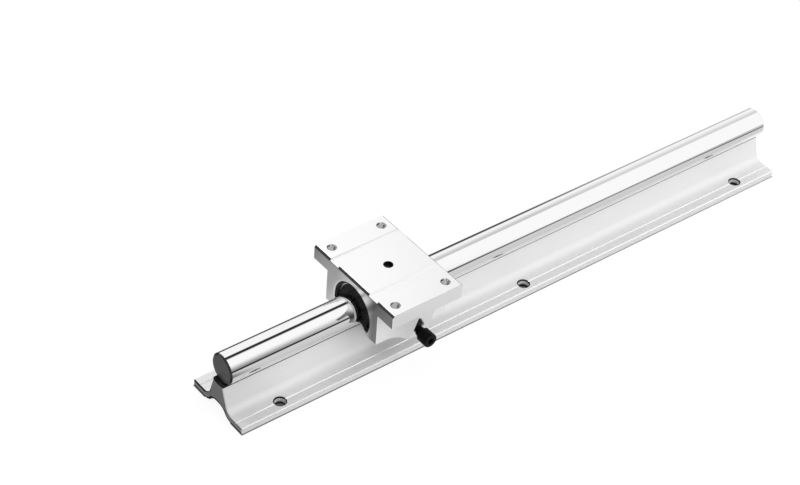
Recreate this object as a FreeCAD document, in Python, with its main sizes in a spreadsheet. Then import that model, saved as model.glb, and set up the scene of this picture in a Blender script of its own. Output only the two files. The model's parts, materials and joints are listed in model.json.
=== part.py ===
import FreeCAD, Part

import math
import os

import Sketcher

# Supported round rail with an open bearing carriage, in millimetres.
# X runs along the rail, Y across its foot, Z up from the floor.
# The origin is under the middle of the rail, on its bottom face.

SIZES = {
    # Rail support, one aluminium extrusion
    "rail_length": 350.0,
    "foot_width": 40.0,
    "foot_thickness": 4.0,
    "neck_width": 8.0,
    "neck_drop": 8.2,
    "flank_angle": 17.0,
    "flank_radius": 5.0,
    "arch_width": 21.0,
    "arch_crown_width": 2.0,
    "arch_height": 4.8,
    "scribe_width": 0.7,
    "scribe_depth": 0.3,
    # Foot bolts, in pairs across the foot, at both ends and the middle
    "bolt_end_margin": 25.0,
    "bolt_span": 30.0,
    "bolt_hole": 5.5,
    # Shaft
    "shaft_diameter": 16.0,
    "shaft_height": 25.0,
    "shaft_setback": 2.0,
    "shaft_chamfer": 0.8,
    # Screws that hold the shaft from below
    "stud_diameter": 5.0,
    "stud_length": 16.0,
    "stud_hole": 5.5,
    "stud_head": 8.5,
    "stud_head_height": 5.0,
    "stud_socket": 4.0,
    "stud_socket_depth": 2.5,
    "stud_seat": 7.0,
    "stud_recess": 9.5,
    "stud_tip_room": 1.5,
    "thread_gap": 0.02,
    # Carriage block
    "block_x": -77.5,
    "block_length": 42.0,
    "block_width": 62.0,
    "block_top": 43.0,
    "block_bottom": 17.0,
    "plate_thickness": 8.0,
    "boss_width": 52.0,
    "wall_width": 40.0,
    "scallop_radius": 10.0,
    "channel_inner": 24.0,
    "channel_outer": 37.0,
    "channel_depth": 1.0,
    "plate_pitch": 30.0,
    "plate_span": 50.0,
    "plate_hole": 5.0,
    "grease_hole": 5.0,
    "grease_passage": 3.0,
    "bore_chamfer": 0.6,
    # Open ball bushing
    "bearing_diameter": 28.0,
    "bearing_length": 37.0,
    "bearing_wall": 2.0,
    "bearing_gap": 0.02,
    "slot_angle": 80.0,
    "seal_length": 1.5,
    "running_gap": 0.05,
    # Retaining rings at the ends of the bore
    "ring_thickness": 1.2,
    "ring_width": 1.6,
    "ring_depth": 0.6,
    "ring_gap": 0.05,
    "ring_end_angle": 58.0,
    "lug_diameter": 3.2,
    "lug_hole": 1.4,
    "lug_reach": 12.0,
    # Screw that holds the bushing from turning
    "lock_height": 20.3,
    "lock_diameter": 5.0,
    "lock_head": 7.3,
    "lock_head_length": 6.4,
    "lock_neck_length": 2.0,
    "lock_socket": 3.0,
    "lock_socket_depth": 2.5,
    "lock_bevel": 0.7,
    "lock_tip_room": 0.1,
}

CUT_MARGIN = 5.0

doc = FreeCAD.newDocument("supported_rail")
sheet = doc.addObject("Spreadsheet::Sheet", "sizes")
for row, (alias, number) in enumerate(SIZES.items(), start=1):
    sheet.set(f"A{row}", alias)
    sheet.set(f"B{row}", str(number))
    sheet.setAlias(f"B{row}", alias)
doc.recompute()


def size(alias):
    return float(sheet.get(alias))


def cells(expression):
    """Write an expression's size names as references to the sheet."""
    words, word = [], ""
    for mark in expression + " ":
        if mark.isalpha() or mark == "_":
            word += mark
            continue
        words.append(f"sizes.{word}" if word in SIZES else word)
        words.append(mark)
        word = ""
    return "".join(words).strip()


def number_of(expression):
    value = sheet.evalExpression(cells(expression))
    return float(getattr(value, "Value", value))


def new_body(label, x="0"):
    body = doc.addObject("PartDesign::Body", label)
    body.Label = label
    body.setExpression("Placement.Base.x", cells(x))
    return body


def new_sketch(body, name, role, offset="0"):
    """A sketch on one of the body's own origin planes, moved along its normal."""
    plane = next(one for one in body.Origin.OriginFeatures if one.Role == role)
    sketch = body.newObject("Sketcher::SketchObject", name)
    sketch.AttachmentSupport = [(plane, "")]
    sketch.MapMode = "FlatFace"
    sketch.setExpression(".AttachmentOffset.Base.z", cells(offset))
    return sketch


def fix_point(sketch, edge, end, x, y):
    """Hold one end of an edge at expressions of the sheet's sizes."""
    if x == "0":
        sketch.addConstraint(Sketcher.Constraint("PointOnObject", edge, end, -2))
    else:
        index = sketch.addConstraint(
            Sketcher.Constraint("DistanceX", -1, 1, edge, end, number_of(x)))
        sketch.setExpression(f"Constraints[{index}]", cells(x))
    if y == "0":
        sketch.addConstraint(Sketcher.Constraint("PointOnObject", edge, end, -1))
    else:
        index = sketch.addConstraint(
            Sketcher.Constraint("DistanceY", -1, 1, edge, end, number_of(y)))
        sketch.setExpression(f"Constraints[{index}]", cells(y))


def arc_between(start, stop, radius, side, long_way):
    """An arc from start to stop; side is +1 when its centre lies to the left."""
    half = (stop - start) * 0.5
    left = FreeCAD.Vector(-half.y, half.x, 0).normalize()
    rise = math.sqrt(max(radius ** 2 - half.Length ** 2, 0.0))
    centre = start + half + left * (side * rise)
    from_angle, to_angle = (math.atan2(one.y - centre.y, one.x - centre.x)
                            for one in (start, stop))
    if (side > 0) == long_way:
        from_angle, to_angle = to_angle, from_angle
    if to_angle < from_angle:
        to_angle += 2 * math.pi
    return Part.ArcOfCircle(
        Part.Circle(centre, FreeCAD.Vector(0, 0, 1), radius), from_angle, to_angle)


def outline(sketch, corners):
    """Draw a closed outline whose corners are expressions.

    A corner is (x, y), or (x, y, radius, side) when an arc leads from it
    to the next corner, with "long" as a fifth item for more than half a turn.
    """
    first = sketch.GeometryCount
    points = [FreeCAD.Vector(number_of(one[0]), number_of(one[1]), 0) for one in corners]
    for place, corner in enumerate(corners):
        start, stop = points[place], points[(place + 1) % len(points)]
        if len(corner) == 2:
            sketch.addGeometry(Part.LineSegment(start, stop), False)
            continue
        arc = arc_between(start, stop, number_of(corner[2]), corner[3], len(corner) == 5)
        sketch.addGeometry(arc, False)
    ends = []
    for place in range(len(corners)):
        edge = sketch.Geometry[first + place]
        forward = edge.StartPoint.distanceToPoint(points[place]) < 1e-6
        ends.append((1, 2) if forward else (2, 1))
    for place, corner in enumerate(corners):
        edge, after = first + place, (place + 1) % len(corners)
        sketch.addConstraint(Sketcher.Constraint(
            "Coincident", edge, ends[place][1], first + after, ends[after][0]))
        fix_point(sketch, edge, ends[place][0], corner[0], corner[1])
        if len(corner) > 2:
            index = sketch.addConstraint(
                Sketcher.Constraint("Radius", edge, number_of(corner[2])))
            sketch.setExpression(f"Constraints[{index}]", cells(corner[2]))


def circle(sketch, x, y, radius):
    centre = FreeCAD.Vector(number_of(x), number_of(y), 0)
    edge = sketch.addGeometry(
        Part.Circle(centre, FreeCAD.Vector(0, 0, 1), number_of(radius)), False)
    fix_point(sketch, edge, 3, x, y)
    index = sketch.addConstraint(Sketcher.Constraint("Radius", edge, number_of(radius)))
    sketch.setExpression(f"Constraints[{index}]", cells(radius))


def hexagon(sketch, y, across):
    """A hexagon socket on the sketch's vertical axis, with its flats upright."""
    flat, corner = f"{across} / 2", f"{across} / sqrt(3)"
    side = f"{across} / sqrt(12)"
    outline(sketch, [
        (flat, f"{y} - {side}"), (flat, f"{y} + {side}"), ("0", f"{y} + {corner}"),
        (f"-{flat}", f"{y} + {side}"), (f"-{flat}", f"{y} - {side}"), ("0", f"{y} - {corner}")])


def pad(body, sketch, length):
    feature = body.newObject("PartDesign::Pad", sketch.Name + "_pad")
    feature.Profile = sketch
    feature.setExpression("Length", cells(length))
    sketch.Visibility = False
    doc.recompute()
    return feature


def pocket(body, sketch, length=None, reverse=False):
    """Cut away a sketch, through everything or to a depth, and see that it cuts."""
    before = body.Shape.Volume
    feature = body.newObject("PartDesign::Pocket", sketch.Name + "_cut")
    feature.Profile = sketch
    feature.Reversed = reverse
    if length is None:
        feature.Type = "ThroughAll"
    else:
        feature.setExpression("Length", cells(length))
    sketch.Visibility = False
    doc.recompute()
    if body.Shape.Volume >= before:
        raise RuntimeError(f"{feature.Name} cuts nothing")
    return feature


def edges_where(shape, wanted):
    return [f"Edge{place}" for place, edge in enumerate(shape.Edges, start=1) if wanted(edge)]


def is_round(edge, radius):
    return isinstance(edge.Curve, Part.Circle) and abs(edge.Curve.Radius - radius) < 1e-3


def chamfer(body, base, edges, expression):
    feature = body.newObject("PartDesign::Chamfer", f"{base.Name}_chamfer")
    feature.Base = (base, edges)
    feature.setExpression("Size", cells(expression))
    doc.recompute()
    return feature


# The rail: foot, web and saddle

def rail_section():
    """Right half of the extrusion's section, from the foot's edge to the saddle."""
    turn_z = "foot_thickness + flank_radius * (1 - sin(flank_angle))"
    neck_z = "shaft_height - neck_drop"
    turn_y = f"(neck_width / 2 + ({neck_z} - ({turn_z})) * tan(flank_angle))"
    land_y = f"{turn_y} + flank_radius * cos(flank_angle)"
    tip_z = "shaft_height - sqrt((shaft_diameter / 2)^2 - (neck_width / 2)^2)"
    groove_y = "bolt_span / 2"
    return [
        ("foot_width / 2", "0"),
        ("foot_width / 2", "foot_thickness"),
        (f"{groove_y} + scribe_width / 2", "foot_thickness"),
        (groove_y, "foot_thickness - scribe_depth"),
        (f"{groove_y} - scribe_width / 2", "foot_thickness"),
        (land_y, "foot_thickness", "flank_radius", -1),
        (turn_y, turn_z),
        ("neck_width / 2", neck_z),
        ("neck_width / 2", tip_z, "shaft_diameter / 2", -1),
    ]


def arch_section():
    """The arch under the web: two equal arcs a side, flat at foot and crown."""
    run = "(arch_width - arch_crown_width) / 2"
    bend = f"(({run})^2 + arch_height^2) / (4 * arch_height)"
    middle = "(arch_width + arch_crown_width) / 4"
    return [
        ("-arch_width / 2", "0", bend, 1),
        (f"-({middle})", "arch_height / 2", bend, -1),
        ("-arch_crown_width / 2", "arch_height"),
        ("arch_crown_width / 2", "arch_height", bend, -1),
        (middle, "arch_height / 2", bend, 1),
        ("arch_width / 2", "0"),
    ]


def left_half(corners):
    """The mirror of a right-hand run; each arc now starts at its other end."""
    flipped = []
    for place in range(len(corners) - 1, -1, -1):
        x, y = corners[place][:2]
        arc = corners[place - 1][2:] if place > 0 else ()
        flipped.append((f"-({x})", y) + tuple(arc))
    return flipped


def bolt_places():
    return [f"{step} * (rail_length / 2 - bolt_end_margin)" for step in (-1, 0, 1)]


def make_rail_support():
    body = new_body("rail_support")
    section = new_sketch(body, "rail_section", "YZ_Plane", "-rail_length / 2")
    right = rail_section()
    outline(section, right + left_half(right) + arch_section())
    pad(body, section, "rail_length")
    holes = new_sketch(body, "foot_holes", "XY_Plane")
    for x in bolt_places():
        for side in ("-", ""):
            circle(holes, x, f"{side}bolt_span / 2", "bolt_hole / 2")
    pocket(body, holes, reverse=True)
    recess = new_sketch(body, "screw_recesses", "XY_Plane")
    passage = new_sketch(body, "screw_passages", "XY_Plane")
    for x in bolt_places():
        circle(recess, x, "0", "stud_recess / 2")
        circle(passage, x, "0", "stud_hole / 2")
    pocket(body, recess, "stud_seat", reverse=True)
    pocket(body, passage, reverse=True)
    return body


def make_shaft():
    """The shaft: set back a little at the near end and flush at the far one."""
    body = new_body("shaft")
    section = new_sketch(body, "shaft_section", "YZ_Plane", "shaft_setback - rail_length / 2")
    circle(section, "0", "shaft_height", "shaft_diameter / 2")
    rod = pad(body, section, "rail_length - shaft_setback")
    rims = edges_where(rod.Shape, lambda edge: is_round(edge, size("shaft_diameter") / 2))
    chamfer(body, rod, rims, "shaft_chamfer")
    holes = new_sketch(body, "shaft_taps", "XY_Plane")
    for x in bolt_places():
        circle(holes, x, "0", "stud_diameter / 2 + thread_gap")
    pocket(body, holes, "stud_seat + stud_length + stud_tip_room", reverse=True)
    return body


def make_shaft_screw(number, x):
    """Socket screw pointing up, with its head seated in the support's recess."""
    body = new_body(f"shaft_screw_{number}", x)
    head = new_sketch(body, f"head_{number}", "XY_Plane", "stud_seat - stud_head_height")
    circle(head, "0", "0", "stud_head / 2")
    pad(body, head, "stud_head_height")
    shank = new_sketch(body, f"shank_{number}", "XY_Plane", "stud_seat")
    circle(shank, "0", "0", "stud_diameter / 2")
    pad(body, shank, "stud_length")
    socket = new_sketch(body, f"socket_{number}", "XY_Plane", "stud_seat - stud_head_height")
    hexagon(socket, "0", "stud_socket")
    pocket(body, socket, "stud_socket_depth", reverse=True)
    return body


# The carriage: block, bushing, retaining rings and lock screw

def block_section():
    """Right half of the block's section, from the bore's mouth to the top."""
    plate_z = "block_top - plate_thickness"
    mouth = "sqrt((bearing_diameter / 2)^2 - (shaft_height - block_bottom)^2)"
    return [
        (mouth, "block_bottom"),
        ("boss_width / 2", "block_bottom"),
        ("block_width / 2", plate_z),
        ("block_width / 2", "block_top"),
        ("channel_outer / 2", "block_top"),
        ("channel_outer / 2", "block_top - channel_depth"),
        ("channel_inner / 2", "block_top - channel_depth"),
        ("channel_inner / 2", "block_top"),
    ]


def scallop(sketch, end, side):
    """The cut round one plate hole: a straight wall that turns out to the boss."""
    x, far = f"{end} * plate_pitch / 2", f"{end} * (block_length / 2 + {CUT_MARGIN})"
    wall, out = f"{side} * wall_width / 2", f"{side} * (block_width / 2 + {CUT_MARGIN})"
    turn_x = f"{end} * (plate_pitch / 2 - scallop_radius)"
    turn_y = f"{side} * (wall_width / 2 + scallop_radius)"
    centre_side = -1 if end * side > 0 else 1
    outline(sketch, [
        (x, wall, "scallop_radius", centre_side), (turn_x, turn_y),
        (turn_x, out), (far, out), (far, wall)])


def make_carriage_block():
    body = new_body("carriage_block", "block_x")
    section = new_sketch(body, "block_section", "YZ_Plane", "-block_length / 2")
    right = block_section()
    left = left_half(right)
    left[-1] = left[-1] + ("bearing_diameter / 2", 1, "long")
    outline(section, right + left)
    pad(body, section, "block_length")
    cuts = new_sketch(body, "scallops", "XY_Plane", "block_top - plate_thickness")
    for end in (-1, 1):
        for side in (-1, 1):
            scallop(cuts, end, side)
    pocket(body, cuts)
    bevel = new_sketch(body, "land_bevels", "XZ_Plane", f"-block_width / 2 - {CUT_MARGIN}")
    for end in (-1, 1):
        outline(bevel, [
            (f"{end} * block_length / 2", "block_top - channel_depth"),
            (f"{end} * block_length / 2", f"block_top + {CUT_MARGIN}"),
            (f"{end} * (block_length / 2 - channel_depth)", f"block_top + {CUT_MARGIN}"),
            (f"{end} * (block_length / 2 - channel_depth)", "block_top")])
    last = pocket(body, bevel, reverse=True)
    rims = edges_where(last.Shape, lambda edge: is_round(edge, size("bearing_diameter") / 2))
    chamfer(body, last, rims, "bore_chamfer")
    holes = new_sketch(body, "plate_holes", "XY_Plane", "shaft_height")
    circle(holes, "0", "0", "grease_hole / 2")
    for end in ("-", ""):
        for side in ("-", ""):
            circle(holes, f"{end}plate_pitch / 2", f"{side}plate_span / 2", "plate_hole / 2")
    pocket(body, holes, reverse=True)
    lock = new_sketch(body, "lock_hole", "XZ_Plane")
    circle(lock, "0", "lock_height", "lock_diameter / 2 + thread_gap")
    pocket(body, lock, reverse=True)
    for end in (-1, 1):
        cut_ring_groove(body, end)
    return body


def cut_ring_groove(body, end):
    near = "bearing_length / 2"
    far = "(bearing_length / 2 + ring_thickness + 2 * ring_gap)"
    start = near if end > 0 else f"-{far}"
    name = "ring_groove_far" if end > 0 else "ring_groove_near"
    sketch = new_sketch(body, name, "YZ_Plane", start)
    circle(sketch, "0", "shaft_height", "bearing_diameter / 2 + ring_depth")
    pocket(body, sketch, "ring_thickness + 2 * ring_gap", reverse=True)


def split_ring(sketch, inner, outer, half_gap):
    """A ring round the shaft's line, open below by twice half_gap degrees."""
    points = []
    for radius in (outer, inner):
        points.append((f"({radius}) * sin({half_gap})",
                       f"shaft_height - ({radius}) * cos({half_gap})"))
    (outer_y, outer_z), (inner_y, inner_z) = points
    outline(sketch, [
        (outer_y, outer_z, outer, -1, "long"), (f"-{outer_y}", outer_z),
        (f"-{inner_y}", inner_z, inner, 1, "long"), (inner_y, inner_z)])


def make_split_tube(label, inner, outer, start, length):
    body = new_body(label, "block_x")
    sketch = new_sketch(body, label + "_section", "YZ_Plane", start)
    split_ring(sketch, inner, outer, "slot_angle / 2")
    pad(body, sketch, length)
    return body


def make_bearing_shell():
    """The slotted sleeve, with a passage for grease under the block's grease hole."""
    body = make_split_tube(
        "bearing_shell", "bearing_diameter / 2 - bearing_wall",
        "bearing_diameter / 2 - bearing_gap", "-bearing_length / 2", "bearing_length")
    passage = new_sketch(body, "grease_passage", "XY_Plane", "shaft_height")
    circle(passage, "0", "0", "grease_passage / 2")
    pocket(body, passage, reverse=True)
    return body


def make_bushing():
    shell_inner = "bearing_diameter / 2 - bearing_wall"
    bore = "shaft_diameter / 2 + running_gap"
    cage_length = "(bearing_length - 2 * seal_length)"
    cage_outer = f"{shell_inner} - bearing_gap"
    return [
        make_bearing_shell(),
        make_split_tube("bearing_cage", bore, cage_outer, f"-{cage_length} / 2", cage_length),
        make_split_tube("bearing_seal_1", bore, cage_outer, "-bearing_length / 2", "seal_length"),
        make_split_tube("bearing_seal_2", bore, cage_outer, f"{cage_length} / 2", "seal_length"),
    ]


def make_retaining_ring(number, end):
    """A snap ring with an eyed lug at each end, seated in the bore's groove."""
    body = new_body(f"retaining_ring_{number}", "block_x")
    near = "(bearing_length / 2 + ring_gap)"
    start = near if end > 0 else f"-{near} - ring_thickness"
    outer = "bearing_diameter / 2 + ring_depth - ring_gap"
    name = f"ring_{number}"
    ring = new_sketch(body, name, "YZ_Plane", start)
    split_ring(ring, f"{outer} - ring_width", outer, "ring_end_angle")
    pad(body, ring, "ring_thickness")
    lugs = new_sketch(body, f"{name}_lugs", "YZ_Plane", start)
    eyes = new_sketch(body, f"{name}_eyes", "YZ_Plane", start)
    lug_z = "shaft_height - lug_reach * cos(ring_end_angle + 3)"
    for side in ("-", ""):
        lug_y = f"{side}lug_reach * sin(ring_end_angle + 3)"
        circle(lugs, lug_y, lug_z, "lug_diameter / 2")
        circle(eyes, lug_y, lug_z, "lug_hole / 2")
    pad(body, lugs, "ring_thickness")
    pocket(body, eyes, reverse=True)
    return body


def make_lock_screw():
    """Socket screw through the boss, its tip just clear of the bushing."""
    body = new_body("lock_screw", "block_x")
    tip = "(bearing_diameter / 2 + lock_tip_room)"
    face = "(block_width - boss_width) / 2 / (block_top - plate_thickness - block_bottom)"
    boss = f"(boss_width / 2 + (lock_height - block_bottom) * {face})"
    seat = f"({boss} + lock_neck_length)"
    shank = new_sketch(body, "lock_shank", "XZ_Plane", tip)
    circle(shank, "0", "lock_height", "lock_diameter / 2")
    pad(body, shank, f"{seat} - {tip}")
    head = new_sketch(body, "lock_head", "XZ_Plane", seat)
    circle(head, "0", "lock_height", "lock_head / 2")
    last = pad(body, head, "lock_head_length")
    outer_y = -number_of(f"{seat} + lock_head_length")
    rim = edges_where(last.Shape, lambda edge: is_round(edge, size("lock_head") / 2)
                      and abs(edge.CenterOfMass.y - outer_y) < 1e-3)
    chamfer(body, last, rim, "lock_bevel")
    socket = new_sketch(body, "lock_socket", "XZ_Plane", f"{seat} + lock_head_length")
    hexagon(socket, "lock_height", "lock_socket")
    pocket(body, socket, "lock_socket_depth")
    return body


def check_model(bodies):
    """Stop before writing if any feature failed or a piece isn't one sound solid."""
    for thing in doc.Objects:
        if "Invalid" in thing.State or "Error" in thing.State:
            raise RuntimeError(f"{thing.Name} failed: {thing.State}")
    for body in bodies:
        shape = body.Shape
        if shape.isNull() or not shape.isValid() or len(shape.Solids) != 1:
            raise RuntimeError(f"{body.Label} isn't one valid solid")


def main():
    bodies = [make_rail_support(), make_shaft()]
    for number, x in enumerate(bolt_places(), start=1):
        bodies.append(make_shaft_screw(number, x))
    bodies.append(make_carriage_block())
    bodies += make_bushing()
    bodies += [make_retaining_ring(1, -1), make_retaining_ring(2, 1)]
    bodies.append(make_lock_screw())
    doc.recompute()
    check_model(bodies)
    os.makedirs("parts", exist_ok=True)
    for body in bodies:
        body.Shape.exportStep(f"parts/{body.Label}.step")
        box = body.Shape.BoundBox
        print(f"{body.Label}: volume {body.Shape.Volume:.1f}, "
              f"x {box.XMin:.2f} {box.XMax:.2f}, y {box.YMin:.2f} {box.YMax:.2f}, "
              f"z {box.ZMin:.2f} {box.ZMax:.2f}")


main()
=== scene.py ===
# %% [markdown]
# A supported round rail with its bearing carriage, dressed for a studio picture.
# The CAD solids come in as a fixed frame. Each piece then gets its finish, and the pieces
# whose edges, threads or knurls the solids leave out are modelled here in their place.

# %% Load the solids
import json
import math

import bmesh
import bpy
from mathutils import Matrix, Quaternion, Vector


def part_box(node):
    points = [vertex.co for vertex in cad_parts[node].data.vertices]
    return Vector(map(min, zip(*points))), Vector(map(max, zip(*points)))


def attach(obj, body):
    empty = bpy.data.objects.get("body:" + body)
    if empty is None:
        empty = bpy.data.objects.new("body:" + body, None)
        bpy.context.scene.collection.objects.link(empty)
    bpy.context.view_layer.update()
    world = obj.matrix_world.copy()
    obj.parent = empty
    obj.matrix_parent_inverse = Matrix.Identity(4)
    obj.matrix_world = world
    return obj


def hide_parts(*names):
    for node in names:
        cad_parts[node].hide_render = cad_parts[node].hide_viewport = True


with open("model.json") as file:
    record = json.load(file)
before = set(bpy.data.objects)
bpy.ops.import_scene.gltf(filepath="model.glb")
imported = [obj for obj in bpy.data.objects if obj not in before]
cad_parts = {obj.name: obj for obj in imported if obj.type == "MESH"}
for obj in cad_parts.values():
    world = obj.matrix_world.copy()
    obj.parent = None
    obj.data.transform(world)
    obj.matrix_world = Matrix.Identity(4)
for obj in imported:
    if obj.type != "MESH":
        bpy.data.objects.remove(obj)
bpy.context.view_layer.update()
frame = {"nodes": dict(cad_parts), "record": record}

MM = 0.001


# %% [markdown]
# The camera stands above the near end, on the lock screw's side, and looks down along the rail.
# It could be placed by eye, but then a long rail seldom lines up at both ends, so its numbers
# were fitted to corners and hole centres whose real sizes are known. A long lens from a metre
# away leaves little perspective, and the far end is hardly smaller.

# %% Camera
CAMERA_TURN = math.radians(49.045)
CAMERA_DIP = math.radians(39.986)
CAMERA_ROLL = math.radians(4.798)
CAMERA_DISTANCE = 1.0723
CAMERA_TARGET = Vector((-0.02921, 0.04849, 0))
CAMERA_LENS = 93.67
SENSOR_WIDTH = 36

look = Vector((math.cos(CAMERA_DIP) * math.cos(CAMERA_TURN),
               math.cos(CAMERA_DIP) * math.sin(CAMERA_TURN), -math.sin(CAMERA_DIP)))
camera_data = bpy.data.cameras.new("camera")
camera_data.sensor_width = SENSOR_WIDTH
camera_data.lens = CAMERA_LENS
camera = bpy.data.objects.new("camera", camera_data)
bpy.context.collection.objects.link(camera)
camera.location = CAMERA_TARGET - look * CAMERA_DISTANCE
camera.rotation_mode = "QUATERNION"
camera.rotation_quaternion = look.to_track_quat("-Z", "Y") @ Quaternion((0, 0, 1), CAMERA_ROLL)
bpy.context.scene.camera = camera
bpy.context.scene.view_settings.view_transform = "Standard"
print("the camera stands at", [round(c, 3) for c in camera.location])


# %% [markdown]
# A finish is a small program of nodes. Written one node at a time it is hard to read, so numbers
# that change over a surface are wrapped in a class, and plain + - * on them add Math nodes.
# Every other node comes from one method: its type, its settings, then what its sockets get.

# %% Numbers and nodes
class Number:
    """A number that changes over a surface."""

    def __init__(self, nodes, socket):
        self.nodes, self.socket = nodes, socket

    def __add__(self, other):
        return self.nodes.maths("ADD", self, other)

    def __sub__(self, other):
        return self.nodes.maths("SUBTRACT", self, other)

    def __rsub__(self, other):
        return self.nodes.maths("SUBTRACT", other, self)

    def __mul__(self, other):
        return self.nodes.maths("MULTIPLY", self, other)

    __radd__, __rmul__ = __add__, __mul__


class Nodes:
    """The nodes of one material, or of the world."""

    def __init__(self, tree):
        self.tree = tree

    def node(self, kind, settings=None, sockets=None):
        made = self.tree.nodes.new(kind)
        for name, value in (settings or {}).items():
            setattr(made, name, value)
        for name, value in (sockets or {}).items():
            value = getattr(value, "socket", value)
            if isinstance(value, bpy.types.NodeSocket):
                self.tree.links.new(value, made.inputs[name])
            else:
                made.inputs[name].default_value = value
        return made

    def number(self, node, output=0):
        return Number(self, node.outputs[output])

    def maths(self, operation, *values):
        return self.number(self.node("ShaderNodeMath", {"operation": operation},
                                     dict(enumerate(values))))

    def step(self, value, start, stop):
        """0 before start and 1 after stop, with a soft change between them."""
        return self.number(self.node(
            "ShaderNodeMapRange", {"interpolation_type": "SMOOTHSTEP"},
            {"Value": value, "From Min": start, "From Max": stop}))

    def colour(self, factor, first, second):
        return self.node("ShaderNodeMix", {"data_type": "RGBA"},
                         {0: factor, 6: first, 7: second}).outputs[2]

    def greys(self, level):
        """A grey whose level changes over the surface."""
        return self.node("ShaderNodeCombineColor", {},
                         {channel: level for channel in range(3)}).outputs[0]

    def place(self, axis):
        """The object's own X, Y or Z at the shaded point, for the axis 0, 1 or 2."""
        return self.number(self.node("ShaderNodeSeparateXYZ", {}, {
            0: self.node("ShaderNodeTexCoord").outputs["Object"]}), axis)


def grey(level):
    return (level, level, level, 1)


def dimmed(*patches):
    """The light that is left where each patch takes its share away."""
    left = 1
    for patch, share in patches:
        left = left * (1 - patch * share)
    return left


print("a grey of a half:", grey(0.5))


# %% [markdown]
# The studio is a white room with the lights above. A polished shaft is a mirror, so the dark
# lines that run along it are dark things in the room: the gap between two overhead lights,
# the edge of the table in front, and the dimmer side beyond the near end. Towards the far end
# the gap turns pale, and the low front and rear of the room are dimmer. All of it is written
# as parts of the sky that are darker by direction: across is the angle from straight up
# towards the front, and along runs down the rail. A panorama of a real room would do too, but
# numbers can be fitted to one dark line at a time.

# %% World
world = bpy.data.worlds.new("studio")
bpy.context.scene.world = world
world.use_nodes = True
world.node_tree.nodes.clear()
sky = Nodes(world.node_tree)
way = sky.node("ShaderNodeSeparateXYZ", {},
               {0: sky.node("ShaderNodeTexCoord").outputs["Generated"]})
along, back, up = (sky.number(way, axis) for axis in range(3))
across = sky.maths("ARCTAN2", 0 - back, up) * math.degrees(1)

dark_side = 1 - sky.step(along, -0.62, -0.54)
light_gap = (sky.step(across, -24, -20) - sky.step(across, -7, 3)) * (
    1 - sky.step(along, 0.475, 0.515))
pale_gap = (sky.step(across, -62, -20) - sky.step(across, -19, -9)) * (
    sky.step(along, 0.49, 0.515) * 0.40 - sky.step(along, 0.55, 0.60) * 0.10)
table_edge = sky.step(across, 84, 89) * (1 - sky.step(along, 0.44, 0.60))
low_front = sky.step(across, 40, 88) * (1 - sky.step(along, 0.42, 0.54))
low_rear = (1 - sky.step(across, -86, -72)) * (
    sky.step(along, 0.42, 0.52) * 0.9 - sky.step(along, 0.55, 0.60) * 0.45)
light = (1.07 + sky.step(across, -30, -5) * 0.04) * dimmed(
    (dark_side, 0.45), (light_gap, 0.97), (pale_gap, 1), (table_edge, 0.96), (low_front, 0.74),
    (low_rear, 1))
camera_ray = sky.number(sky.node("ShaderNodeLightPath"), "Is Camera Ray")
level = camera_ray + (1 - camera_ray) * light
background = sky.node("ShaderNodeBackground", {}, {"Color": (1, 1, 1, 1), "Strength": level})
sky.node("ShaderNodeOutputWorld", {}, {"Surface": background.outputs[0]})
print("the sky has", len(world.node_tree.nodes), "nodes")


# %% [markdown]
# The floor is a plain white sheet, and the camera sees it as such, with the object's shadow.
# Polished metal sees it too, and there each dark patch stands for something around the rail:
# the dim surroundings of the near end, the far side of the sheet and two strips of dark card.
# Real cards would do, but they would cast shadows too. Only reflections meet these patches, so
# each could be fitted to one dark line on the metal. Under the rail the camera sees the sheet
# dark as well, because hardly any light gets there.

# %% Floor
FLOOR_SIZE = 6
FLOOR_DROP = 0.02 * MM

bpy.ops.mesh.primitive_plane_add(size=FLOOR_SIZE, location=(0, 0, -FLOOR_DROP))
floor = bpy.context.object
floor.name = "floor"
paper = bpy.data.materials.new("white_paper")
paper.use_nodes = True
paper.node_tree.nodes.clear()
nodes = Nodes(paper.node_tree)
floor_x, floor_y = nodes.place(0), nodes.place(1)
front_y = 0 - floor_y
side_x, side_y = nodes.maths("ABSOLUTE", floor_x), nodes.maths("ABSOLUTE", floor_y)

end_face = (1 - nodes.step(floor_x, -0.1765, -0.1745)) * (1 - nodes.step(front_y, 0.022, 0.030))
near_corner = (1 - nodes.step(floor_x + floor_y * 0.25, -0.170, -0.145)) * nodes.step(
    front_y, 0.026, 0.036) * nodes.step(floor_x, -0.190, -0.175)
far_floor = nodes.step(front_y, 0.15, 0.25) * (
    1 - nodes.step(floor_x - front_y * 0.6, -0.10, 0.10) * 0.75)
front_floor = nodes.step(front_y, 0.018, 0.022)
front_strip = nodes.step(front_y, 0.12, 0.16) * (
    nodes.step(floor_x, 0, 0.04) - nodes.step(floor_x, 0.16, 0.20))
cross_strip = nodes.step(front_y, 0.06, 0.075) * (1 - nodes.step(floor_x, 0.25, 0.28)) * (
    nodes.step(floor_x + front_y * 0.58, 0.235, 0.265))
rear_shade = (1 - nodes.step(floor_x - floor_y * 1.2, -0.09, 0.03)) * (
    nodes.step(floor_y, 0.025, 0.045) * 0.5 + nodes.step(floor_y, 0.05, 0.09) * 0.45)
under_foot = (1 - nodes.step(side_x, 0.1750, 0.1755)) * nodes.step(side_y, 0.0103, 0.0107) * (
    1 - nodes.step(side_y, 0.0200, 0.0205))
under_arch = (1 - nodes.step(side_x, 0.160, 0.168)) * (1 - nodes.step(side_y, 0.0103, 0.0107))
under_rail = under_foot + under_arch
pattern = dimmed(
    (end_face, 0.84), (near_corner, 0.85), (far_floor, 0.93), (front_floor, 0.28),
    (front_strip, 0.7), (cross_strip, 0.75), (rear_shade, 1), (under_rail, 0.9))

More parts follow.
